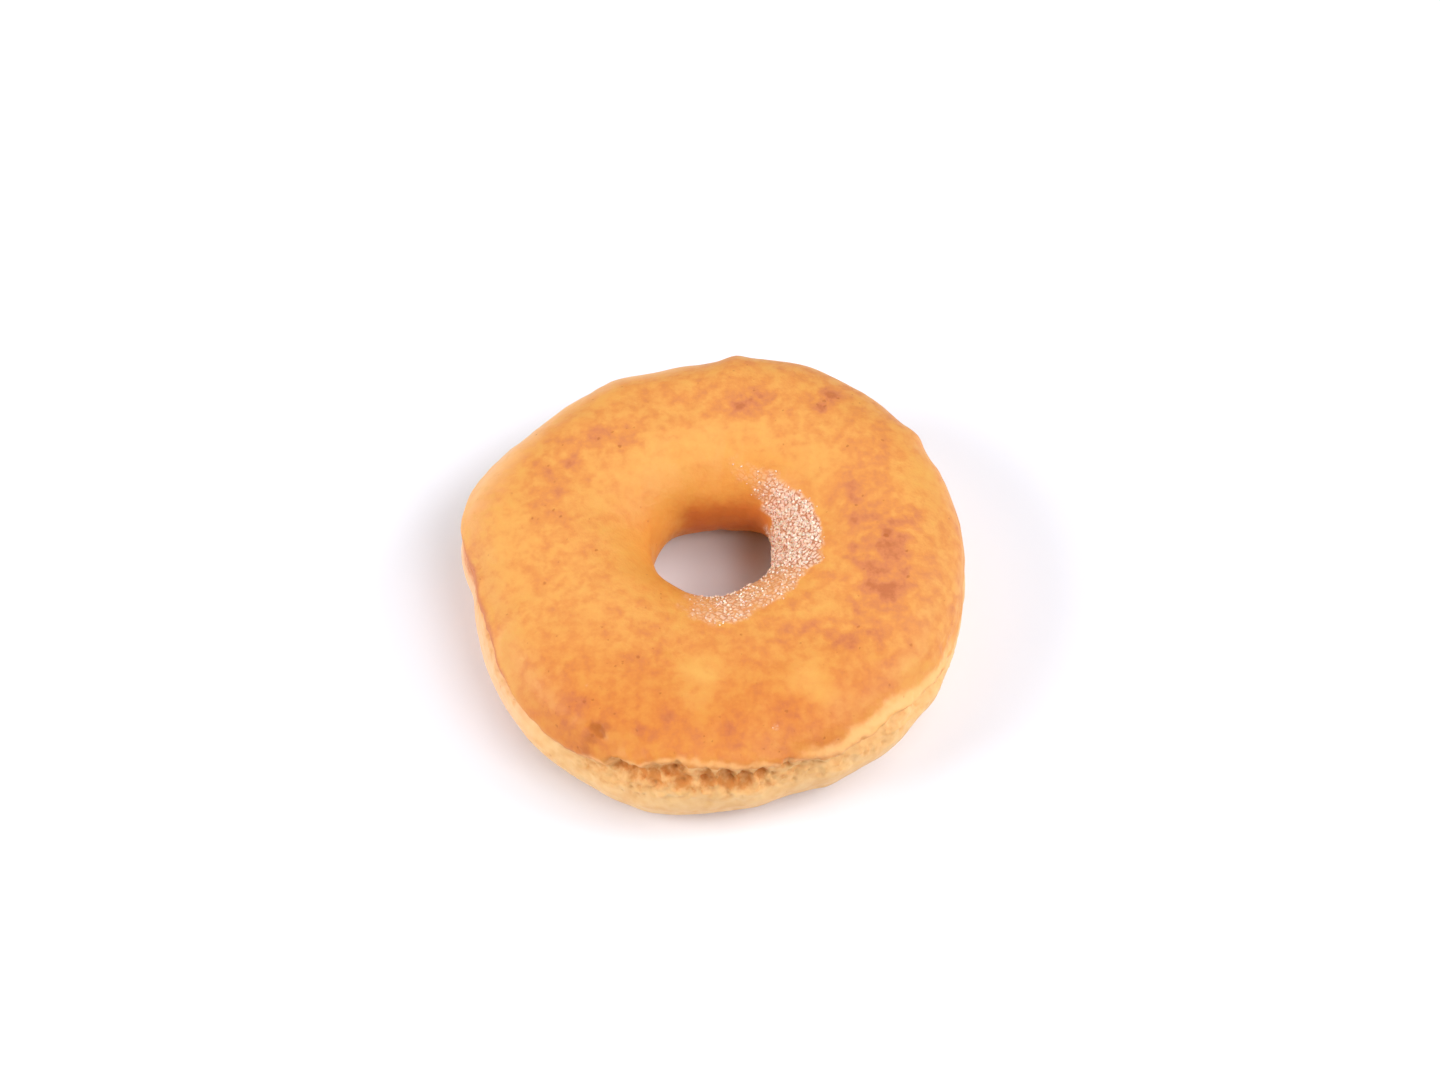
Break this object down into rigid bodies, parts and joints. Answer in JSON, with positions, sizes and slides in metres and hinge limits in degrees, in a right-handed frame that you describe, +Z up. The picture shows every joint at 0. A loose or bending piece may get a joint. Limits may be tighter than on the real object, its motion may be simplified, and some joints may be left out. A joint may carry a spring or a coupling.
{
  "type": "ring doughnut",
  "caption": "Raised ring doughnut, fried plain, with a round hole, a browned flat top, a pale belt round its side and a torn, craggy stretch under the crust's lip.",
  "frame": {"origin": "middle of the footprint, at the flat of the underside", "axes": "+Z up through the hole, +X to the doughnut's right and -Y towards its torn front, as the picture shows it"},
  "size_m": [0.0922, 0.0942, 0.0242],
  "materials": {
    "fried_crust": "golden-orange fried crust with browned patches, a paler belt round the side and a thin trace of fine sugar by the hole, satin"
  },
  "bodies": {
    "root": {"doughnut": "fried_crust"}
  },
  "joints": []
}
